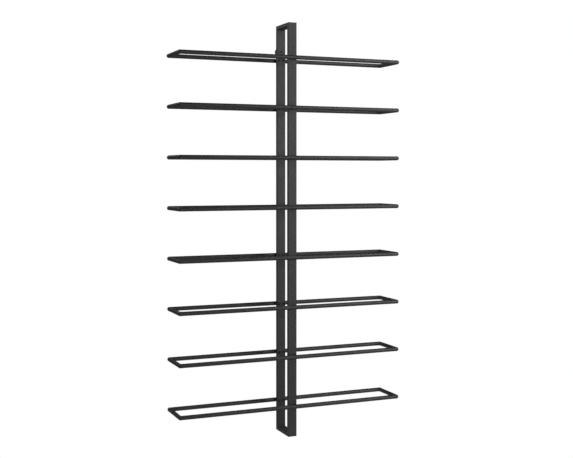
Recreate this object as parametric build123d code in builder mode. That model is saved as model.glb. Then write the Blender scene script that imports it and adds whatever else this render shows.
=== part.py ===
"""Wall-mounted storage rack: one narrow flat-bar spine with eight round-rod shelf loops around it.

Frame, in millimetres: +Z is up, +X runs along the shelves and +Y points at the wall. The origin is on the
wall plane, midway between the two wall fixings. Shelf 1 is the top one.
"""

import os

from build123d import *

# Shelf loops: round rod, mitred, welded and ground to a ball at the corners.
rack_width = 800.0
rod = 14.0
shelf_count = 8
shelf_pitch = 167.0

# Spine: flat bar, mitred and welded into one tall, closed rectangle that the loops go round.
spine_depth = 110.0
flat_width = 30.0
flat_thickness = 12.0
spine_above = 117.0  # from the top shelf's centre line to the top of the spine
spine_below = 102.0  # from the bottom shelf's centre line to the foot of the spine
spine_corner_radius = 1.6
flat_edge_radius = 0.8

# Shelf screws: M5 button heads in pairs. They go in from inside the spine, and their heads are sunk.
screw_radius = 2.5
head_radius = 4.75
head_height = 2.75
head_crown_radius = 1.9
socket_across_flats = 3.0
socket_depth = 1.6
sink_clearance = 0.25
sink_edge_margin = 2.0  # metal left between a head's recess and the edge of the flat bar
screw_hole_clearance = 0.25
thread_clearance = 0.05
tapped_hole_floor = 4.0  # metal left in the rod past its tapped holes
drill_allowance = 3.0  # from the screw's tip to the end of the tapped hole

# Wall standoffs: turned spacers as thick as the rear rails, each with a spigot in the rear upright.
standoff_radii = {"upper": 14.0, "lower": 10.0}
standoff_offset = 30.5  # from the end shelves' centre lines out to the wall fixings
standoff_edge_radius = 1.0
spigot_radius = 4.5
spigot_clearance = 0.05
spigot_floor = 7.0  # metal left in the rear upright past each spigot
wall_screw_hole_radius = 2.75

# Derived places. The rails touch the spine in front and behind, and the rear rails touch the wall.
loop_depth = spine_depth + 2 * rod
loop_centre_y = -loop_depth / 2
spine_rear_y = -rod
spine_front_y = spine_rear_y - spine_depth
spine_centre_y = (spine_front_y + spine_rear_y) / 2
front_inner_y = spine_front_y + flat_thickness
rear_inner_y = spine_rear_y - flat_thickness
top_shelf_z = (shelf_count - 1) * shelf_pitch / 2
shelf_heights = [top_shelf_z - step * shelf_pitch for step in range(shelf_count)]
spine_height = 2 * top_shelf_z + spine_above + spine_below
spine_centre_z = (spine_above - spine_below) / 2
standoff_heights = {"upper": top_shelf_z + standoff_offset, "lower": -top_shelf_z - standoff_offset}

# Derived fits.
head_sink = head_height + sink_clearance
head_recess_radius = head_radius + sink_clearance
screw_spacing = flat_width - 2 * (head_recess_radius + sink_edge_margin)
tapped_hole_depth = rod - tapped_hole_floor
screw_length = flat_thickness - head_sink + tapped_hole_depth - drill_allowance
spigot_seat_depth = flat_thickness - spigot_floor
spigot_length = spigot_seat_depth - spigot_clearance

TO_WALL = (0, 1, 0)
TO_ROOM = (0, -1, 0)
TURN_TO_SIDE = {"top": 0, "left": 90, "bottom": 180, "right": 270}
OUT = "parts"


def save(piece, name):
    """Labels a finished sub-part and writes its STEP file."""
    piece.part.label = name
    export_step(piece.part, os.path.join(OUT, name + ".step"))


def facing(x, y, z, direction):
    """A plane at a point, square to the Y axis and facing that way, with its x axis along +X."""
    return Plane(origin=(x, y, z), x_dir=(1, 0, 0), z_dir=direction)


def side_place(plane, size, side):
    """The plane of a mitred rectangular frame turned so that a side lies across its top, with its size."""
    turned = Plane(plane.location * Rotation(0, 0, TURN_TO_SIDE[side]))
    along, across = reversed(size) if side in ("left", "right") else size
    return turned, along, across


def mitre_points(along, across, band):
    """The area between a top side's two mitres, from its inner edge to a band's width outside the frame."""
    return [
        (-along / 2 - band, across / 2 + band),
        (along / 2 + band, across / 2 + band),
        (along / 2 - band, across / 2 - band),
        (-along / 2 + band, across / 2 - band),
    ]


def loop_side(height, side):
    """One side of the shelf loop whose centre line is at that height. Its top side is the rear rail.

    The rod has a ball round each corner's centre, and the mitres cut the balls in half.
    """
    plan = Plane(origin=(0, loop_centre_y, height))
    turned, along, across = side_place(plan, (rack_width, loop_depth), side)
    reach = (along - rod) / 2
    away = (across - rod) / 2
    with BuildPart() as piece:
        with BuildLine(turned):
            axis = Line((-reach, away), (reach, away))
        with BuildSketch(Plane(origin=axis @ 0, z_dir=axis % 0)):
            Circle(rod / 2)
        extrude(amount=axis.length)
        with Locations(axis @ 0, axis @ 1):
            Sphere(rod / 2)
        with BuildSketch(turned):
            Polygon(*mitre_points(along, across, rod), align=None)
        extrude(amount=rod, both=True, mode=Mode.INTERSECT)
    return piece


def spine_side(side):
    """One side of the spine, seen from +X: the left side is the front upright.

    The outer corners and the long edges are rounded, and the mitre faces stay plane.
    """
    plan = Plane(origin=(-flat_width / 2, spine_centre_y, spine_centre_z), x_dir=(0, 1, 0), z_dir=(1, 0, 0))
    turned, along, across = side_place(plan, (spine_depth, spine_height), side)
    with BuildPart() as piece:
        with BuildSketch(turned):
            RectangleRounded(along, across, spine_corner_radius)
            Rectangle(along - 2 * flat_thickness, across - 2 * flat_thickness, mode=Mode.SUBTRACT)
            Polygon(*mitre_points(along, across, flat_thickness), align=None, mode=Mode.INTERSECT)
        extrude(amount=flat_width)
        long_edges = piece.edges().filter_by(Axis((0, 0, 0), turned.x_dir))
        corner_edges = piece.edges().filter_by(GeomType.CIRCLE)
        fillet(long_edges + corner_edges, flat_edge_radius)
    return piece


def screw_planes(y, heights, direction):
    """A pair of planes at each height, one for each shelf screw that enters a face at y."""
    return [
        facing(x, y, height, direction)
        for height in heights
        for x in (-screw_spacing / 2, screw_spacing / 2)
    ]


def shelf_screws(face_y, direction):
    """All the shelf screws of one upright, each a separate solid with a domed head and a hex socket."""
    with BuildPart() as screws:
        for face in screw_planes(face_y, shelf_heights, direction):
            seat = face.offset(-head_sink)
            crown = seat.offset(head_height)
            with BuildSketch(seat):
                Circle(head_radius)
            extrude(amount=head_height)
            rims = screws.edges(Select.LAST).filter_by(GeomType.CIRCLE)
            fillet(rims.filter_by_position(Axis.Y, crown.origin.Y, crown.origin.Y), head_crown_radius)
            with BuildSketch(seat):
                Circle(screw_radius)
            extrude(amount=-screw_length)
            with BuildSketch(crown):
                RegularPolygon(socket_across_flats / 2, 6, major_radius=False)
            extrude(amount=-socket_depth, mode=Mode.SUBTRACT)
    return screws


os.makedirs(OUT, exist_ok=True)

# Spine: front and rear uprights, with a sunk hole for each shelf screw, and a short bar at each end.
blank = spine_side("left")
with BuildPart() as front_upright:
    add(blank.part)
    with Locations(*screw_planes(front_inner_y, shelf_heights, TO_WALL)):
        CounterBoreHole(screw_radius + screw_hole_clearance, head_recess_radius, head_sink)
save(front_upright, "spine_front_upright")

blank = spine_side("right")
with BuildPart() as rear_upright:
    add(blank.part)
    with Locations(*screw_planes(rear_inner_y, shelf_heights, TO_ROOM)):
        CounterBoreHole(screw_radius + screw_hole_clearance, head_recess_radius, head_sink)
    with Locations(*[facing(0, spine_rear_y, height, TO_WALL) for height in standoff_heights.values()]):
        CounterBoreHole(wall_screw_hole_radius, spigot_radius + spigot_clearance, spigot_seat_depth)
save(rear_upright, "spine_rear_upright")

save(spine_side("top"), "spine_top_bar")
save(spine_side("bottom"), "spine_bottom_bar")

# Shelf loops: front and rear rails, with a pair of tapped holes each, and two short ends.
for number, height in enumerate(shelf_heights, start=1):
    blank = loop_side(height, "bottom")
    with BuildPart() as front_rail:
        add(blank.part)
        with Locations(*screw_planes(spine_front_y, [height], TO_WALL)):
            Hole(screw_radius + thread_clearance, depth=tapped_hole_depth)
    save(front_rail, f"shelf_{number}_front_rail")

    blank = loop_side(height, "top")
    with BuildPart() as rear_rail:
        add(blank.part)
        with Locations(*screw_planes(spine_rear_y, [height], TO_ROOM)):
            Hole(screw_radius + thread_clearance, depth=tapped_hole_depth)
    save(rear_rail, f"shelf_{number}_rear_rail")

    save(loop_side(height, "left"), f"shelf_{number}_left_end")
    save(loop_side(height, "right"), f"shelf_{number}_right_end")

# Fasteners.
save(shelf_screws(front_inner_y, TO_WALL), "front_shelf_screws")
save(shelf_screws(rear_inner_y, TO_ROOM), "rear_shelf_screws")

# Wall standoffs: a disc against the wall, a spigot, and a hole for the wall screw through both.
for name, height in standoff_heights.items():
    wall = facing(0, 0, height, TO_ROOM)
    with BuildPart() as standoff:
        with BuildSketch(wall):
            Circle(standoff_radii[name])
        extrude(amount=rod)
        fillet(standoff.edges().filter_by(GeomType.CIRCLE), standoff_edge_radius)
        with BuildSketch(wall.offset(rod)):
            Circle(spigot_radius)
        extrude(amount=spigot_length)
        with BuildSketch(wall):
            Circle(wall_screw_hole_radius)
        extrude(amount=rod + spigot_length, mode=Mode.SUBTRACT)
    save(standoff, f"{name}_wall_standoff")
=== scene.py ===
"""Wall-mounted storage rack in matt black powder coat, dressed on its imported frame.

The spine, the shelf loops, the standoffs and the screws are the frame's own nodes, with finishes of their
own. The welds at the mitres of the spine's bars and the loops' rods are built here. Everything is in
metres, +Z up, with the wall at y = 0.
"""

import logging
import math
from dataclasses import dataclass, field
from enum import Enum
from random import Random
from typing import Iterable, Sequence

import bmesh
import bpy
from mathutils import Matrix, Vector


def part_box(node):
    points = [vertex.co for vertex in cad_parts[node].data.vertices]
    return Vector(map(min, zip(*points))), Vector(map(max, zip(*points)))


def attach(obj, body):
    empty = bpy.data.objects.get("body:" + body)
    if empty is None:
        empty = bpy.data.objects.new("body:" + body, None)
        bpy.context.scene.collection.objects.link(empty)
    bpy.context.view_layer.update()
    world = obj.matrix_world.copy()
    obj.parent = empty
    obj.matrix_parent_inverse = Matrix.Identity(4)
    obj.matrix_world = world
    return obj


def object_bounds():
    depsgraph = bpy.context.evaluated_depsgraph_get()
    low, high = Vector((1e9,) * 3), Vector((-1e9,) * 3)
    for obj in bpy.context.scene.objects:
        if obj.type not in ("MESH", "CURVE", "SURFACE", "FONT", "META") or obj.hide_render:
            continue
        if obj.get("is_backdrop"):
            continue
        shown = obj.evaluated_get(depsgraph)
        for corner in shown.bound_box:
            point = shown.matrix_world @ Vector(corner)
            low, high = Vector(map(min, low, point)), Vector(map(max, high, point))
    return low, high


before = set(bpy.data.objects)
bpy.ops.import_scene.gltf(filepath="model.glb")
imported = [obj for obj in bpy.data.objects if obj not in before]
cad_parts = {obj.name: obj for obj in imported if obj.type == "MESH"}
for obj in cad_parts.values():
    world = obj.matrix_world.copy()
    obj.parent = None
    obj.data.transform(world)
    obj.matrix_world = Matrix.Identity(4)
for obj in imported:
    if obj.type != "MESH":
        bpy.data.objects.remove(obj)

LOG = logging.getLogger("rack")
MM = 0.001
ROOT_BODY = "root"
SPINE_SEED = 31
FIRST_LOOP_SEED = 101

Colour = tuple[float, float, float]
Socket = bpy.types.NodeSocket


# ---------------------------------------------------------------------------------------------------------
# Writing node trees
# ---------------------------------------------------------------------------------------------------------


class Kind(Enum):
    """The kinds of socket that an effect group has."""

    VALUE = "NodeSocketFloat"
    VECTOR = "NodeSocketVector"
    COLOUR = "NodeSocketColor"


class Graph:
    """Adds nodes to one node tree and wires them together."""

    def __init__(self, tree: bpy.types.NodeTree) -> None:
        """Starts a graph on a tree.

        Args:
            tree: The node tree that the nodes are added to.
        """
        self.tree = tree

    def node(self, kind: str, **settings: object) -> bpy.types.Node:
        """Adds a node and sets its properties.

        Args:
            kind: Blender's name for the node type.
            settings: Properties of the node, by name.

        Returns:
            The new node.
        """
        made = self.tree.nodes.new(kind)
        for name, value in settings.items():
            setattr(made, name, value)
        return made

    def feed(self, target: Socket, source: Socket | float | Sequence[float]) -> None:
        """Wires a socket into another, or sets a plain value on it.

        Args:
            target: The input socket.
            source: An output socket, or the value that the input keeps.
        """
        if isinstance(source, bpy.types.NodeSocket):
            self.tree.links.new(source, target)
        else:
            target.default_value = source

    def math(self, operation: str, *values: Socket | float, clamp: bool = False) -> Socket:
        """Adds a Math node.

        Args:
            operation: Blender's name for the operation.
            values: Its inputs, in order.
            clamp: Whether the result is held between 0 and 1.

        Returns:
            The result.
        """
        made = self.node("ShaderNodeMath", operation=operation, use_clamp=clamp)
        for target, value in zip(made.inputs, values):
            self.feed(target, value)
        return made.outputs[0]

    def noise(self, place: Socket, scale: Socket | float, detail: float, roughness: float = 0.5) -> Socket:
        """Adds a noise texture and returns its value.

        Args:
            place: Where the noise is read.
            scale: Cells per metre.
            detail: How many octaves it has.
            roughness: How strong each finer octave is.

        Returns:
            The noise, about 0.5 on average.
        """
        made = self.node("ShaderNodeTexNoise")
        self.feed(made.inputs["Vector"], place)
        self.feed(made.inputs["Scale"], scale)
        self.feed(made.inputs["Detail"], detail)
        self.feed(made.inputs["Roughness"], roughness)
        return made.outputs["Fac"]

    def stretch(self, place: Socket, factors: Sequence[float]) -> Socket:
        """Scales a place by a factor along each axis.

        Args:
            place: The place.
            factors: The three factors.

        Returns:
            The scaled place.
        """
        made = self.node("ShaderNodeVectorMath", operation="MULTIPLY")
        self.feed(made.inputs[0], place)
        self.feed(made.inputs[1], factors)
        return made.outputs[0]

    def rise(self, value: Socket, low: Socket | float, high: Socket | float) -> Socket:
        """A smooth step of a value.

        Args:
            value: The value.
            low: Where the step leaves 0.
            high: Where it reaches 1.

        Returns:
            The step, between 0 and 1.
        """
        made = self.node("ShaderNodeMapRange", interpolation_type="SMOOTHSTEP")
        self.feed(made.inputs["Value"], value)
        self.feed(made.inputs["From Min"], low)
        self.feed(made.inputs["From Max"], high)
        return made.outputs["Result"]

    def blend(self, share: Socket, first: Socket | Colour, second: Socket | Colour) -> Socket:
        """Mixes two colours.

        Args:
            share: How much of the second shows.
            first: The colour where the share is 0.
            second: The colour where the share is 1.

        Returns:
            The mixed colour.
        """
        made = self.node("ShaderNodeMix", data_type="RGBA")
        self.feed(made.inputs["Factor"], share)
        for target, colour in ((made.inputs["A"], first), (made.inputs["B"], second)):
            self.feed(target, colour if isinstance(colour, bpy.types.NodeSocket) else (*colour, 1.0))
        return made.outputs["Result"]


class Effect:
    """A shader node group that several finishes share, built once and placed with its own values."""

    name = "effect"
    inputs: dict[str, tuple[Kind, float]] = {}
    outputs: dict[str, Kind] = {}

    def __init__(self) -> None:
        """Builds the group's sockets and then its nodes."""
        self.tree = bpy.data.node_groups.new(self.name, "ShaderNodeTree")
        for name, (kind, default) in self.inputs.items():
            made = self.tree.interface.new_socket(name=name, in_out="INPUT", socket_type=kind.value)
            made.default_value = default
        for name, kind in self.outputs.items():
            self.tree.interface.new_socket(name=name, in_out="OUTPUT", socket_type=kind.value)
        graph = Graph(self.tree)
        given = graph.node("NodeGroupInput").outputs
        result = graph.node("NodeGroupOutput").inputs
        self.wire(graph, given, result)

    def wire(self, graph: Graph, given: object, result: object) -> None:
        """Adds the nodes between the group's sockets.

        Args:
            graph: The group's graph.
            given: The group's inputs, by name.
            result: The group's outputs, by name.
        """
        raise NotImplementedError

    def place(self, graph: Graph, **values: Socket | float) -> dict[str, Socket]:
        """Places the group in a material.

        Args:
            graph: The material's graph.
            values: The group's inputs, by name, with _ for a space.

        Returns:
            The group's outputs, by name.
        """
        made = graph.node("ShaderNodeGroup", node_tree=self.tree)
        for name, value in values.items():
            graph.feed(made.inputs[name.replace("_", " ")], value)
        return {name: made.outputs[name] for name in self.outputs}


class CoatTexture(Effect):
    """The skin of a fine-texture powder coat: a sandy grain on a slow orange peel, and a faint mottle."""

    name = "Powder coat texture"
    inputs = {
        "Grain size": (Kind.VALUE, 0.0007),
        "Peel size": (Kind.VALUE, 0.004),
        "Peel share": (Kind.VALUE, 0.35),
    }
    outputs = {"Height": Kind.VALUE, "Mottle": Kind.VALUE}

    def wire(self, graph: Graph, given: object, result: object) -> None:
        """Adds the grain, the peel and the mottle.

        Args:
            graph: The group's graph.
            given: The group's inputs, by name.
            result: The group's outputs, by name.
        """
        place = graph.node("ShaderNodeTexCoord").outputs["Object"]
        grain_scale = graph.math("DIVIDE", 1.0, given["Grain size"])
        peel_scale = graph.math("DIVIDE", 1.0, given["Peel size"])
        grain = graph.noise(place, grain_scale, 3.0, 0.6)
        cells = graph.node("ShaderNodeTexVoronoi", feature="SMOOTH_F1")
        graph.feed(cells.inputs["Vector"], place)
        graph.feed(cells.inputs["Scale"], grain_scale)
        graph.feed(cells.inputs["Smoothness"], 0.6)
        sand = graph.math("SUBTRACT", grain, graph.math("MULTIPLY", cells.outputs["Distance"], 0.35))
        peel = graph.noise(place, peel_scale, 1.0)
        share = given["Peel share"]
        fine = graph.math("MULTIPLY", sand, graph.math("SUBTRACT", 1.0, share))
        graph.feed(result["Height"], graph.math("ADD", fine, graph.math("MULTIPLY", peel, share)))
        cloud = graph.noise(graph.stretch(place, (9.0, 9.0, 4.0)), 1.0, 4.0, 0.62)
        patch = graph.noise(graph.stretch(place, (60.0, 60.0, 35.0)), 1.0, 3.0, 0.55)
        mottle = graph.math("ADD", graph.math("MULTIPLY", cloud, 0.6), graph.math("MULTIPLY", patch, 0.4))
        graph.feed(result["Mottle"], graph.rise(mottle, 0.32, 0.68))


class EdgeWear(Effect):
    """Where hands rub a coated bar: its rounded edges, in uneven runs.

    The bars lie along the axes, so the largest part of the surface's direction falls below 1 only on the
    rounded edges.
    """

    name = "Edge wear"
    inputs = {
        "Reach": (Kind.VALUE, 0.28),
        "Unevenness": (Kind.VALUE, 0.5),
    }
    outputs = {"Rubbed": Kind.VALUE}

    def wire(self, graph: Graph, given: object, result: object) -> None:
        """Finds the rounded edges and breaks them up.

        Args:
            graph: The group's graph.
            given: The group's inputs, by name.
            result: The group's outputs, by name.
        """
        coords = graph.node("ShaderNodeTexCoord").outputs
        parts = graph.node("ShaderNodeSeparateXYZ")
        graph.feed(parts.inputs[0], coords["Normal"])
        sizes = [graph.math("ABSOLUTE", part) for part in parts.outputs]
        largest = graph.math("MAXIMUM", graph.math("MAXIMUM", sizes[0], sizes[1]), sizes[2])
        edge = graph.rise(graph.math("SUBTRACT", 1.0, largest), 0.01, given["Reach"])
        runs = graph.noise(coords["Object"], 38.0, 3.0, 0.6)
        specks = graph.noise(coords["Object"], 900.0, 2.0, 0.7)
        broken = graph.math("ADD", runs, graph.math("MULTIPLY", specks, 0.5))
        start = graph.math("MULTIPLY_ADD", given["Unevenness"], 0.5, 0.4)
        graph.feed(result["Rubbed"], graph.math("MULTIPLY", edge, graph.rise(broken, start, 1.05)))


class CrownWear(Effect):
    """Where the things laid on a round rod rub it: along its crown, in uneven runs."""

    name = "Crown wear"
    inputs = {
        "Spread": (Kind.VALUE, 0.12),
        "Unevenness": (Kind.VALUE, 0.5),
    }
    outputs = {"Rubbed": Kind.VALUE}

    def wire(self, graph: Graph, given: object, result: object) -> None:
        """Finds the crown and breaks it up.

        Args:
            graph: The group's graph.
            given: The group's inputs, by name.
            result: The group's outputs, by name.
        """
        coords = graph.node("ShaderNodeTexCoord").outputs
        parts = graph.node("ShaderNodeSeparateXYZ")
        graph.feed(parts.inputs[0], coords["Normal"])
        start = graph.math("SUBTRACT", 1.0, given["Spread"])
        crown = graph.rise(parts.outputs["Z"], start, 1.0)
        runs = graph.noise(coords["Object"], 24.0, 4.0, 0.6)
        specks = graph.noise(graph.stretch(coords["Object"], (260.0, 700.0, 700.0)), 1.0, 2.0, 0.7)
        broken = graph.math("ADD", runs, graph.math("MULTIPLY", specks, 0.5))
        threshold = graph.math("MULTIPLY_ADD", given["Unevenness"], 0.5, 0.45)
        graph.feed(result["Rubbed"], graph.math("MULTIPLY", crown, graph.rise(broken, threshold, 1.1)))


class SettledDust(Effect):
    """A thin film of dust on faces that look up, in soft patches with specks."""

    name = "Settled dust"
    inputs = {"Cover": (Kind.VALUE, 0.5)}
    outputs = {"Film": Kind.VALUE}

    def wire(self, graph: Graph, given: object, result: object) -> None:
        """Picks the faces that look up and breaks the film up.

        Args:
            graph: The group's graph.
            given: The group's inputs, by name.
            result: The group's outputs, by name.
        """
        coords = graph.node("ShaderNodeTexCoord").outputs
        parts = graph.node("ShaderNodeSeparateXYZ")
        graph.feed(parts.inputs[0], coords["Normal"])
        upward = graph.rise(parts.outputs["Z"], 0.45, 0.98)
        patches = graph.rise(graph.noise(coords["Object"], 22.0, 4.0, 0.6), 0.3, 0.75)
        specks = graph.rise(graph.noise(coords["Object"], 1400.0, 1.0), 0.55, 0.8)
        film = graph.math("ADD", graph.math("MULTIPLY", patches, 0.75), graph.math("MULTIPLY", specks, 0.4))
        cover = graph.math("MULTIPLY", upward, given["Cover"])
        graph.feed(result["Film"], graph.math("MULTIPLY", film, cover, clamp=True))


class HandlingMarks(Effect):
    """Faint smears and hairline rubs that change how glossy a coated face is."""

    name = "Handling marks"
    inputs = {"Smear size": (Kind.VALUE, 0.05)}
    outputs = {"Smear": Kind.VALUE, "Hairlines": Kind.VALUE}

    def wire(self, graph: Graph, given: object, result: object) -> None:
        """Adds soft smears and long hairlines.

        Args:
            graph: The group's graph.
            given: The group's inputs, by name.
            result: The group's outputs, by name.
        """
        place = graph.node("ShaderNodeTexCoord").outputs["Object"]
        smear_scale = graph.math("DIVIDE", 1.0, given["Smear size"])
        smear = graph.noise(place, smear_scale, 5.0, 0.65)
        graph.feed(result["Smear"], graph.rise(smear, 0.38, 0.7))
        along_bars = graph.noise(graph.stretch(place, (40.0, 2600.0, 2600.0)), 1.0, 2.0)
        along_spine = graph.noise(graph.stretch(place, (2600.0, 2600.0, 40.0)), 1.0, 2.0)
        hairs = graph.math("MAXIMUM", along_bars, along_spine)
        graph.feed(result["Hairlines"], graph.rise(hairs, 0.68, 0.78))


@dataclass(frozen=True)
class EffectSet:
    """The effects that the finishes share."""

    texture: CoatTexture = field(default_factory=CoatTexture)
    edge_wear: EdgeWear = field(default_factory=EdgeWear)
    crown_wear: CrownWear = field(default_factory=CrownWear)
    dust: SettledDust = field(default_factory=SettledDust)
    marks: HandlingMarks = field(default_factory=HandlingMarks)


# ---------------------------------------------------------------------------------------------------------
# Finishes
# ---------------------------------------------------------------------------------------------------------


class Rub(Enum):
    """Where a coated bar or rod is rubbed."""

    EDGES = "edges"
    CROWN = "crown"


@dataclass(frozen=True)
class PowderCoat:
    """A matt black powder coat with a fine texture, rubbed a little where it is touched.

    The depths are in metres, and the shares are from 0 to 1.
    """

    name: str
    colour: Colour
    pale_colour: Colour
    rub: Rub = Rub.EDGES
    rubbed_colour: Colour = (0.075, 0.075, 0.077)
    dust_colour: Colour = (0.2, 0.195, 0.185)
    roughness: float = 0.5
    rubbed_roughness: float = 0.34
    specular: float = 0.5
    grain_size: float = 0.0007
    peel_size: float = 0.004
    texture_depth: float = 0.00012
    wear_share: float = 0.6
    dust_cover: float = 0.25

    def make(self, effects: EffectSet) -> bpy.types.Material:
        """Builds the material.

        Args:
            effects: The shared effects.

        Returns:
            The material.
        """
        material = bpy.data.materials.new(self.name)
        material.use_nodes = True
        graph = Graph(material.node_tree)
        shader = material.node_tree.nodes["Principled BSDF"]
        texture = effects.texture.place(graph, Grain_size=self.grain_size, Peel_size=self.peel_size)
        worn = effects.crown_wear if self.rub is Rub.CROWN else effects.edge_wear
        wear = worn.place(graph, Unevenness=0.5)
        dust = effects.dust.place(graph, Cover=self.dust_cover)
        marks = effects.marks.place(graph, Smear_size=0.06)

        base = graph.blend(texture["Mottle"], self.colour, self.pale_colour)
        rubbed = graph.math("MULTIPLY", wear["Rubbed"], self.wear_share)
        base = graph.blend(rubbed, base, self.rubbed_colour)
        graph.feed(shader.inputs["Base Color"], graph.blend(dust["Film"], base, self.dust_colour))

        smeared = graph.math("MULTIPLY_ADD", marks["Smear"], -0.06, self.roughness)
        smeared = graph.math("MULTIPLY_ADD", texture["Mottle"], 0.05, smeared)
        smeared = graph.math("MULTIPLY_ADD", marks["Hairlines"], 0.05, smeared)
        polished = graph.math("MULTIPLY", rubbed, self.rubbed_roughness - self.roughness)
        dusty = graph.math("MULTIPLY", dust["Film"], 0.4)
        roughness = graph.math("ADD", graph.math("ADD", smeared, polished), dusty, clamp=True)
        graph.feed(shader.inputs["Roughness"], roughness)
        shader.inputs["Specular IOR Level"].default_value = self.specular

        bump = graph.node("ShaderNodeBump")
        bump.inputs["Distance"].default_value = self.texture_depth
        bump.inputs["Strength"].default_value = 0.7
        graph.feed(bump.inputs["Height"], texture["Height"])
        graph.feed(shader.inputs["Normal"], bump.outputs["Normal"])
        return material


@dataclass(frozen=True)
class BlackOxide:
    """Oiled black oxide on a steel screw, with brighter steel where a key has bitten."""

    name: str
    colour: Colour = (0.02, 0.02, 0.022)
    bright_colour: Colour = (0.16, 0.16, 0.165)
    roughness: float = 0.36

    def make(self, effects: EffectSet) -> bpy.types.Material:
        """Builds the material.

        Args:
            effects: The shared effects.

        Returns:
            The material.
        """
        material = bpy.data.materials.new(self.name)
        material.use_nodes = True
        graph = Graph(material.node_tree)
        shader = material.node_tree.nodes["Principled BSDF"]
        texture = effects.texture.place(graph, Grain_size=0.0003, Peel_size=0.0012, Peel_share=0.5)
        marks = effects.marks.place(graph, Smear_size=0.008)
        scuffed = graph.math("MULTIPLY", marks["Smear"], 0.25)
        graph.feed(shader.inputs["Base Color"], graph.blend(scuffed, self.colour, self.bright_colour))
        graph.feed(shader.inputs["Metallic"], graph.math("MULTIPLY_ADD", marks["Smear"], 0.35, 0.45))
        graph.feed(
            shader.inputs["Roughness"], graph.math("MULTIPLY_ADD", texture["Mottle"], 0.12, self.roughness)
        )
        bump = graph.node("ShaderNodeBump")
        bump.inputs["Distance"].default_value = 0.00004
        graph.feed(bump.inputs["Height"], texture["Height"])
        graph.feed(shader.inputs["Normal"], bump.outputs["Normal"])
        return material


class Finish(Enum):
    """The rack's finishes."""

    SPINE = "spine_powder_coat"
    SHELF = "shelf_powder_coat"
    STANDOFF = "standoff_coat"
    SCREW = "black_screws"


class Paintshop:
    """Makes each finish once and puts it on pieces."""

    def __init__(self) -> None:
        """Makes the finishes."""
        effects = EffectSet()
        self.made = {
            Finish.SPINE: PowderCoat(
                name="spine powder coat", colour=(0.026, 0.026, 0.027), pale_colour=(0.04, 0.04, 0.041)
            ).make(effects),
            Finish.SHELF: PowderCoat(
                name="shelf powder coat",
                rub=Rub.CROWN,
                colour=(0.022, 0.022, 0.023),
                pale_colour=(0.033, 0.033, 0.034),
                roughness=0.42,
                texture_depth=0.00005,
                wear_share=0.35,
            ).make(effects),
            Finish.STANDOFF: PowderCoat(
                name="standoff coat",
                colour=(0.02, 0.02, 0.021),
                pale_colour=(0.03, 0.03, 0.031),
                grain_size=0.0005,
                dust_cover=0.15,
            ).make(effects),
            Finish.SCREW: BlackOxide(name="black oxide").make(effects),
        }

    def coat(self, piece: bpy.types.Object, finish: Finish) -> None:
        """Puts a finish on every slot of a piece.

        Args:
            piece: The piece.
            finish: Its finish.
        """
        if not piece.material_slots:
            piece.data.materials.append(self.made[finish])
        for material_slot in piece.material_slots:
            material_slot.material = self.made[finish]


# ---------------------------------------------------------------------------------------------------------
# Welds
# ---------------------------------------------------------------------------------------------------------


class Mesher:
    """Gathers surfaces into one mesh and makes a piece of them."""

    def __init__(self) -> None:
        """Starts an empty mesh."""
        self.bm = bmesh.new()

    def closed_grid(self, rows: Sequence[Sequence[Vector]]) -> None:
        """Adds a closed tube through rings of points, capped at both ends.

        Args:
            rows: Rings with the same number of points each, in order along the tube.
        """
        rings = [[self.bm.verts.new(point) for point in row] for row in rows]
        count = len(rings[0])
        for ring, following in zip(rings, rings[1:]):
            for i in range(count):
                j = (i + 1) % count
                self.bm.faces.new((ring[i], ring[j], following[j], following[i]))
        self.bm.faces.new(reversed(rings[0]))
        self.bm.faces.new(rings[-1])

    def closed_ring(self, rows: Sequence[Sequence[Vector]]) -> None:
        """Adds a ring-shaped surface through outlines of points, the last joined to the first.

        Args:
            rows: Outlines with the same number of points each, in order round the ring.
        """
        rings = [[self.bm.verts.new(point) for point in row] for row in rows]
        count = len(rings[0])
        for k, ring in enumerate(rings):
            following = rings[(k + 1) % len(rings)]
            for i in range(count):
                j = (i + 1) % count
                self.bm.faces.new((ring[i], ring[j], following[j], following[i]))

    def piece(self, name: str) -> bpy.types.Object:
        """Makes the gathered surfaces into a smooth-shaded piece that rides on the root body.

        Args:
            name: The piece's name.

        Returns:
            The piece.
        """
        bmesh.ops.recalc_face_normals(self.bm, faces=self.bm.faces)
        mesh = bpy.data.meshes.new(name)
        self.bm.to_mesh(mesh)
        self.bm.free()
        mesh.shade_smooth()
        made = bpy.data.objects.new(name, mesh)
        bpy.context.scene.collection.objects.link(made)
        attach(made, ROOT_BODY)
        return made


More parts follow.
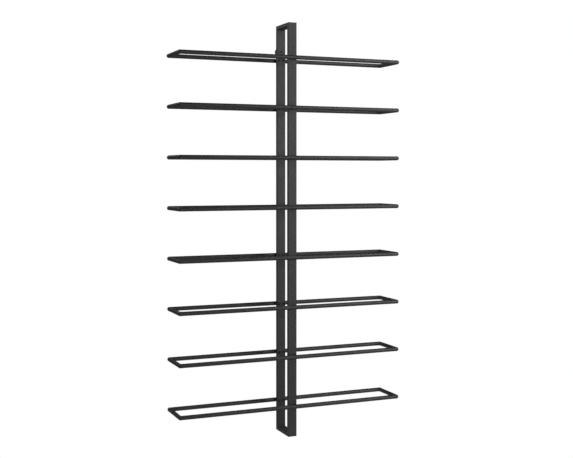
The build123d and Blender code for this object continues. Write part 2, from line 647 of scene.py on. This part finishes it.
@dataclass
class InsideBead:
    """A rippled fillet weld along the inside corner between two bars."""

    leg: float = 2.6 * MM
    ripple_pitch: float = 1.6 * MM
    ripple_depth: float = 0.09
    ripple_lag: float = 0.3
    hollow: float = 0.22
    drift: float = 0.06
    end_size: float = 0.55
    end_growth: float = 6.0
    sink: float = 0.6 * MM
    rings_per_ripple: int = 5
    arc_points: int = 9

    def lay(
        self, mesher: Mesher, start: Vector, end: Vector, across: Vector, up: Vector, luck: Random
    ) -> None:
        """Lays one bead.

        Args:
            mesher: Where the bead's surface goes.
            start: One end of the inside corner's edge.
            end: The other end.
            across: The direction from the corner along the first bar's face.
            up: The direction from the corner along the second bar's face.
            luck: The source of the bead's unevenness.
        """
        length = (end - start).length
        along = (end - start).normalized()
        ripples = max(3, round(length / self.ripple_pitch))
        count = ripples * self.rings_per_ripple
        swell = [luck.uniform(-self.drift, self.drift) for _ in range(ripples + 1)]
        rows = []
        for step in range(count + 1):
            share = step / count
            phase = share * ripples
            low = min(int(phase), ripples - 1)
            drift = swell[low] + (swell[low + 1] - swell[low]) * (phase - low)
            taper = min(1.0, self.end_size + self.end_growth * min(share, 1.0 - share))
            size = self.leg * taper * (1.0 + drift + self.ripple_depth * math.sin(2 * math.pi * phase))
            base = start.lerp(end, share)
            inner = base - (across + up) * self.sink
            arc = []
            for i in range(self.arc_points):
                turn = math.pi / 2 * i / (self.arc_points - 1)
                bulge = 1.0 - self.hollow * math.sin(2 * turn)
                lag = self.ripple_pitch * self.ripple_lag * math.sin(2 * turn) * taper
                spot = base + (across * math.cos(turn) + up * math.sin(turn)) * size * bulge
                arc.append(spot + along * lag if 0 < step < count else spot)
            first = inner + across * size
            last = inner + up * size
            rows.append([first, *arc, last, inner])
        mesher.closed_grid(rows)


@dataclass
class GroundSeam:
    """A butt weld ground almost flush across a mitre: a low, slightly wandering swell under the coat."""

    width: float = 2.8 * MM
    height: float = 0.16 * MM
    wander: float = 0.12 * MM
    tuck: float = 0.02 * MM
    sink: float = 0.3 * MM
    steps: int = 14
    arc_points: int = 7

    def lay(self, mesher: Mesher, start: Vector, end: Vector, out: Vector, luck: Random) -> None:
        """Lays one seam.

        Args:
            mesher: Where the seam's surface goes.
            start: One end of the mitre on the bar's face.
            end: The other end.
            out: The direction that the face looks.
            luck: The source of the seam's unevenness.
        """
        side = (end - start).normalized().cross(out)
        rows = []
        for step in range(self.steps + 1):
            share = step / self.steps
            taper = math.sin(math.pi * min(1.0, max(0.0, 0.06 + share * 0.88))) ** 0.5
            width = self.width / 2 * taper * luck.uniform(0.86, 1.1)
            height = self.height * taper * luck.uniform(0.75, 1.0)
            base = start.lerp(end, share) + side * luck.uniform(-self.wander, self.wander)
            row = []
            for i in range(self.arc_points):
                offset = -1.0 + 2.0 * i / (self.arc_points - 1)
                crown = height * (1.0 - offset**2) - self.tuck
                row.append(base + side * width * offset + out * crown)
            row.append(base + side * width - out * self.sink)
            row.append(base - side * width - out * self.sink)
            rows.append(row)
        mesher.closed_grid(rows)


@dataclass
class RodRing:
    """The weld round a mitre between two rods: ground flush outside, and a rippled fillet inside."""

    ground_width: float = 1.3 * MM
    ground_crown: float = 0.12 * MM
    fillet_width: float = 2.2 * MM
    fillet_crown: float = 0.35 * MM
    ripples: int = 26
    ripple_depth: float = 0.12 * MM
    tuck: float = 0.02 * MM
    sink: float = 0.5 * MM
    steps: int = 180
    arc_points: int = 9

    def lay(self, mesher: Mesher, centre: Vector, outward: Vector, radius: float, luck: Random) -> None:
        """Lays one ring.

        Args:
            mesher: Where the ring's surface goes.
            centre: The corner's centre, where the rods' centre lines meet.
            outward: The level direction from the centre out through the corner.
            radius: The rods' radius.
            luck: The source of the ring's unevenness.
        """
        up = Vector((0, 0, 1))
        across = up.cross(outward)
        drifts = [
            (order, luck.uniform(0, 2 * math.pi), luck.uniform(0.02, 0.07)) for order in (2, 3, 5, 7)
        ]
        rows = []
        for step in range(self.steps):
            turn = 2 * math.pi * step / self.steps
            inside = max(0.0, -math.cos(turn))
            swell = 1.0 + sum(size * math.sin(order * turn + phase) for order, phase, size in drifts)
            width = (self.ground_width + (self.fillet_width - self.ground_width) * inside) * swell
            crown = (self.ground_crown + (self.fillet_crown - self.ground_crown) * inside) * swell
            crown += self.ripple_depth * inside * math.sin(self.ripples * turn)
            mitre = math.sqrt(2) if inside else 1.0
            spot = centre + (outward * math.cos(turn) * mitre + up * math.sin(turn)) * radius
            normal = (outward * math.cos(turn) / mitre + up * math.sin(turn)).normalized()
            tilt = inside / mitre / math.hypot(inside / mitre, math.sin(turn)) if inside else 0.0
            row = []
            for i in range(self.arc_points):
                offset = -1.0 + 2.0 * i / (self.arc_points - 1)
                ball = math.sqrt(radius**2 - (width * offset) ** 2) - radius
                edge = width * tilt if inside else ball
                height = edge + crown * (1.0 - offset**2) - self.tuck
                row.append(spot + across * width * offset + normal * height)
            floor = width * tilt - self.sink
            row.append(spot + across * width + normal * floor)
            row.append(spot - across * width + normal * floor)
            rows.append(row)
        mesher.closed_ring(rows)


# ---------------------------------------------------------------------------------------------------------
# Sub-assemblies
# ---------------------------------------------------------------------------------------------------------


def middle(low: Sequence[float], high: Sequence[float]) -> Vector:
    """The point halfway between two corners of a box.

    Args:
        low: The lowest corner.
        high: The highest corner.

    Returns:
        The middle of the box.
    """
    return (Vector(low) + Vector(high)) / 2


@dataclass
class ShelfLoop:
    """One rectangular shelf loop of round rod, welded at its four mitres."""

    number: int
    paintshop: Paintshop
    ring: RodRing = field(default_factory=RodRing)

    def rods(self) -> list[str]:
        """The names of the loop's four rods."""
        parts = ("front_rail", "rear_rail", "left_end", "right_end")
        return [f"shelf_{self.number}_{part}" for part in parts]

    def dress(self) -> None:
        """Coats the rods."""
        for name in self.rods():
            self.paintshop.coat(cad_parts[name], Finish.SHELF)
            LOG.info("%s coated", name)

    def build(self) -> bpy.types.Object:
        """Builds the loop's corner welds.

        Returns:
            The welds of all four corners as one piece.
        """
        front, rear, left, right = (middle(*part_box(name)) for name in self.rods())
        low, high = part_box(self.rods()[0])
        radius = (high[2] - low[2]) / 2
        mesher = Mesher()
        luck = Random(FIRST_LOOP_SEED + self.number - 1)
        for x, side in ((left.x, -1), (right.x, 1)):
            for y, depth in ((front.y, -1), (rear.y, 1)):
                outward = Vector((side, depth, 0)).normalized()
                self.ring.lay(mesher, Vector((x, y, front.z)), outward, radius, luck)
        welds = mesher.piece(f"shelf_{self.number}_corner_welds")
        self.paintshop.coat(welds, Finish.SHELF)
        LOG.info("%s built", welds.name)
        return welds


@dataclass
class Spine:
    """The tall closed rectangle of flat bar that carries the loops, welded at its four mitres."""

    paintshop: Paintshop
    bead: InsideBead = field(default_factory=InsideBead)
    seam: GroundSeam = field(default_factory=GroundSeam)
    edge_round: float = 0.9 * MM

    def dress(self) -> None:
        """Coats the four bars."""
        for part in ("front_upright", "rear_upright", "top_bar", "bottom_bar"):
            self.paintshop.coat(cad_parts[f"spine_{part}"], Finish.SPINE)
            LOG.info("spine_%s coated", part)

    def build(self) -> bpy.types.Object:
        """Builds the spine's corner welds.

        Returns:
            The welds of all four corners as one piece.
        """
        front_low, front_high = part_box("spine_front_upright")
        rear_low, rear_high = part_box("spine_rear_upright")
        top_low, top_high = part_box("spine_top_bar")
        foot_low, foot_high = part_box("spine_bottom_bar")
        left, right = front_low[0], front_high[0]
        corners = (
            (front_high[1], top_low[2], front_low[1], top_high[2]),
            (rear_low[1], top_low[2], rear_high[1], top_high[2]),
            (front_high[1], foot_high[2], front_low[1], foot_low[2]),
            (rear_low[1], foot_high[2], rear_high[1], foot_low[2]),
        )
        mesher = Mesher()
        luck = Random(SPINE_SEED)
        for inner_y, inner_z, outer_y, outer_z in corners:
            to_middle = Vector((0, math.copysign(1, inner_y - outer_y), 0))
            to_inside = Vector((0, 0, math.copysign(1, inner_z - outer_z)))
            start = Vector((left + self.edge_round, inner_y, inner_z))
            end = Vector((right - self.edge_round, inner_y, inner_z))
            self.bead.lay(mesher, start, end, to_middle, to_inside, luck)
            outward = (to_middle + to_inside) * self.edge_round
            for x, out in ((left, Vector((-1, 0, 0))), (right, Vector((1, 0, 0)))):
                inner = Vector((x, inner_y, inner_z)) - outward
                outer = Vector((x, outer_y, outer_z)) + outward
                self.seam.lay(mesher, inner, outer, out, luck)
        welds = mesher.piece("spine_corner_welds")
        self.paintshop.coat(welds, Finish.SPINE)
        LOG.info("%s built", welds.name)
        return welds


@dataclass
class Fixings:
    """The shelf screws inside the spine and the standoffs behind it."""

    paintshop: Paintshop
    parts: dict[str, Finish] = field(
        default_factory=lambda: {
            "front_shelf_screws": Finish.SCREW,
            "rear_shelf_screws": Finish.SCREW,
            "upper_wall_standoff": Finish.STANDOFF,
            "lower_wall_standoff": Finish.STANDOFF,
        }
    )

    def dress(self) -> None:
        """Puts each part's finish on it."""
        for name, finish in self.parts.items():
            self.paintshop.coat(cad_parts[name], finish)
            LOG.info("%s finished in %s", name, finish.value)


# ---------------------------------------------------------------------------------------------------------
# Studio
# ---------------------------------------------------------------------------------------------------------


@dataclass(frozen=True)
class SoftLight:
    """A large square area light that looks at a point."""

    name: str
    place: tuple[float, float, float]
    aim: tuple[float, float, float]
    size: float
    power: float

    def hang(self) -> None:
        """Puts the light in the scene."""
        data = bpy.data.lights.new(self.name, "AREA")
        data.shape = "SQUARE"
        data.size = self.size
        data.energy = self.power
        made = bpy.data.objects.new(self.name, data)
        made.location = self.place
        made.rotation_euler = (Vector(self.aim) - Vector(self.place)).to_track_quat("-Z", "Y").to_euler()
        bpy.context.scene.collection.objects.link(made)
        LOG.info("%s hung", self.name)


@dataclass
class Studio:
    """A pale floor, a white surround, soft lights and the camera."""

    floor_drop: float = 0.45
    floor_reach: float = 30.0
    camera_place: tuple[float, float, float] = (-1.2833, -3.1289, 0.1986)
    camera_turn: float = 22.772
    camera_dip: float = 1.203
    lens: float = 61.405
    lens_rise: float = -0.0615
    fill: float = 0.04
    lights: Iterable[SoftLight] = (
        SoftLight("front_light", (2.2, -3.0, 0.4), (0.0, -0.1, 0.1), 1.5, 47.0),
        SoftLight("side_light", (2.6, -1.0, 1.0), (0.0, -0.1, 0.2), 1.5, 9.0),
        SoftLight("high_light", (1.0, -1.0, 1.3), (0.1, -0.1, 0.3), 0.8, 6.8),
        SoftLight("rim_light", (-1.6, 0.9, 1.8), (0.0, -0.1, 0.2), 0.8, 36.0),
    )

    def lay_floor(self) -> None:
        """Lays the floor below the rack."""
        low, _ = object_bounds()
        mesh = bpy.data.meshes.new("studio_floor")
        bm = bmesh.new()
        bmesh.ops.create_grid(bm, x_segments=8, y_segments=8, size=self.floor_reach)
        bmesh.ops.translate(bm, verts=bm.verts, vec=(0.0, 0.0, low[2] - self.floor_drop))
        bm.to_mesh(mesh)
        bm.free()
        floor = bpy.data.objects.new("studio_floor", mesh)
        material = bpy.data.materials.new("studio floor")
        material.use_nodes = True
        graph = Graph(material.node_tree)
        shader = material.node_tree.nodes["Principled BSDF"]
        shader.inputs["Base Color"].default_value = (0.9, 0.9, 0.9, 1.0)
        shader.inputs["Roughness"].default_value = 0.9
        self.whiten(graph, shader.outputs["BSDF"], material.node_tree.nodes["Material Output"])
        mesh.materials.append(material)
        bpy.context.scene.collection.objects.link(floor)
        floor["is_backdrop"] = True

    def whiten(self, graph: Graph, lit: Socket, output: bpy.types.Node) -> None:
        """Makes the floor or the surround plain white to the camera, and leaves its light on the rack alone.

        Args:
            graph: The graph of the floor's material or of the surround.
            lit: The shader that the rack is lit by.
            output: The output node.
        """
        on_floor = output.type == "OUTPUT_MATERIAL"
        white = graph.node("ShaderNodeEmission" if on_floor else "ShaderNodeBackground")
        seen = graph.node("ShaderNodeMixShader")
        graph.feed(seen.inputs[0], graph.node("ShaderNodeLightPath").outputs["Is Camera Ray"])
        graph.feed(seen.inputs[1], lit)
        graph.feed(seen.inputs[2], white.outputs[0])
        white.inputs["Color"].default_value = (1.0, 1.0, 1.0, 1.0)
        graph.feed(output.inputs["Surface"], seen.outputs[0])

    def light(self) -> None:
        """Sets the surround and hangs the lights."""
        world = bpy.data.worlds.new("studio surround")
        world.use_nodes = True
        background = world.node_tree.nodes["Background"]
        background.inputs["Color"].default_value = (1.0, 1.0, 1.0, 1.0)
        background.inputs["Strength"].default_value = self.fill
        self.whiten(Graph(world.node_tree), background.outputs[0], world.node_tree.nodes["World Output"])
        bpy.context.scene.world = world
        bpy.context.scene.view_settings.view_transform = "Standard"
        for light in self.lights:
            light.hang()

    def place_camera(self) -> None:
        """Puts the camera to the left of the rack, a little above its middle."""
        data = bpy.data.cameras.new("camera")
        data.lens = self.lens
        data.shift_y = self.lens_rise
        camera = bpy.data.objects.new("camera", data)
        camera.location = self.camera_place
        camera.rotation_euler = (math.radians(90 - self.camera_dip), 0.0, math.radians(-self.camera_turn))
        bpy.context.scene.collection.objects.link(camera)
        bpy.context.scene.camera = camera


def main() -> None:
    """Dresses the rack, welds it and sets up the studio."""
    logging.basicConfig(level=logging.INFO, format="%(name)s: %(message)s")
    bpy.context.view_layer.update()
    paintshop = Paintshop()
    spine = Spine(paintshop)
    spine.dress()
    spine.build()
    shelf_count = sum(name.endswith("_front_rail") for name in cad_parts)
    for number in range(1, shelf_count + 1):
        loop = ShelfLoop(number, paintshop)
        loop.dress()
        loop.build()
    Fixings(paintshop).dress()
    studio = Studio()
    studio.lay_floor()
    studio.light()
    studio.place_camera()


if __name__ == "__main__":
    main()
